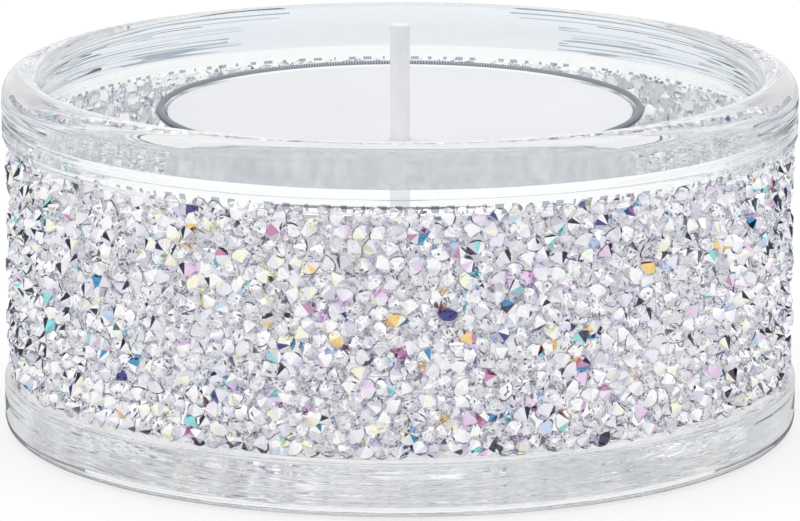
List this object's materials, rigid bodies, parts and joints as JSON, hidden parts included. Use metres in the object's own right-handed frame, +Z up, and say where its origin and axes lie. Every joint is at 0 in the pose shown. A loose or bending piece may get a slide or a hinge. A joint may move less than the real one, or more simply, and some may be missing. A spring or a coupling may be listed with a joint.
{
  "type": "crystal tealight holder",
  "caption": "Round clear glass tealight holder with a thick foot, a rolled lip and a recessed band of pointed crystals, with a loose metal-cup tealight in its bowl.",
  "frame": {"origin": "centre of the flat underside, on the axis of revolution", "axes": "+Z up along the axis from the underside to the lip; -Y faces the picture's camera, +X is to its right"},
  "size_m": [0.064, 0.064, 0.0327],
  "materials": {
    "clear_glass": "fire-polished clear glass",
    "clear_adhesive": "clear double-sided adhesive",
    "carrier_film": "pale translucent carrier film",
    "cut_crystal": "faceted crystal, partly with an iridescent coating",
    "cup_aluminium": "thin pressed aluminium with a finely ribbed rolled rim",
    "white_wax": "smooth white wax",
    "foot_steel": "tinned sheet steel",
    "waxed_cotton": "waxed cotton, cut flat"
  },
  "bodies": {
    "holder": {"glass_body": "clear_glass", "adhesive_layer": "clear_adhesive", "carrier_film": "carrier_film", "crystal_bed": "cut_crystal"},
    "tealight": {"candle_cup": "cup_aluminium", "candle_wax": "white_wax", "wick_foot": "foot_steel", "wick": "waxed_cotton"}
  },
  "joints": [
    {"name": "tealight_lift", "type": "slide", "parent": "holder", "child": "tealight", "axis": [0, 0, 1], "range_m": [0, 0.03]}
  ]
}
